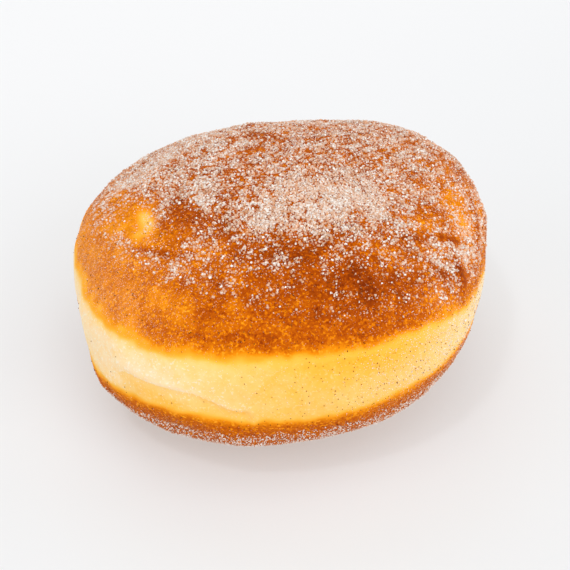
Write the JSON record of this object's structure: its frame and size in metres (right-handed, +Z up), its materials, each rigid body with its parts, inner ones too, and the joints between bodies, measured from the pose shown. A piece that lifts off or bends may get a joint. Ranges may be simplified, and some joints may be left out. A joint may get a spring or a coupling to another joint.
{
  "type": "jelly filled doughnut",
  "caption": "Plump oval jelly filled doughnut with a browned sugared crust above and below a pale belt, resting on a small flat spot.",
  "frame": {"origin": "under the middle of the doughnut's box, on the plane that its base rests on", "axes": "+Z up, and -Y the front"},
  "size_m": [0.0904, 0.0918, 0.0508],
  "materials": {
    "fried_dough": "satin browned crust with a pale yellow belt, dusted with sugar",
    "sugar_crystals": "glinting off-white granulated sugar, warm with cinnamon dust",
    "ground_spice": "dull dark brown specks of ground spice"
  },
  "bodies": {
    "root": {"doughnut": "fried_dough"}
  },
  "joints": []
}
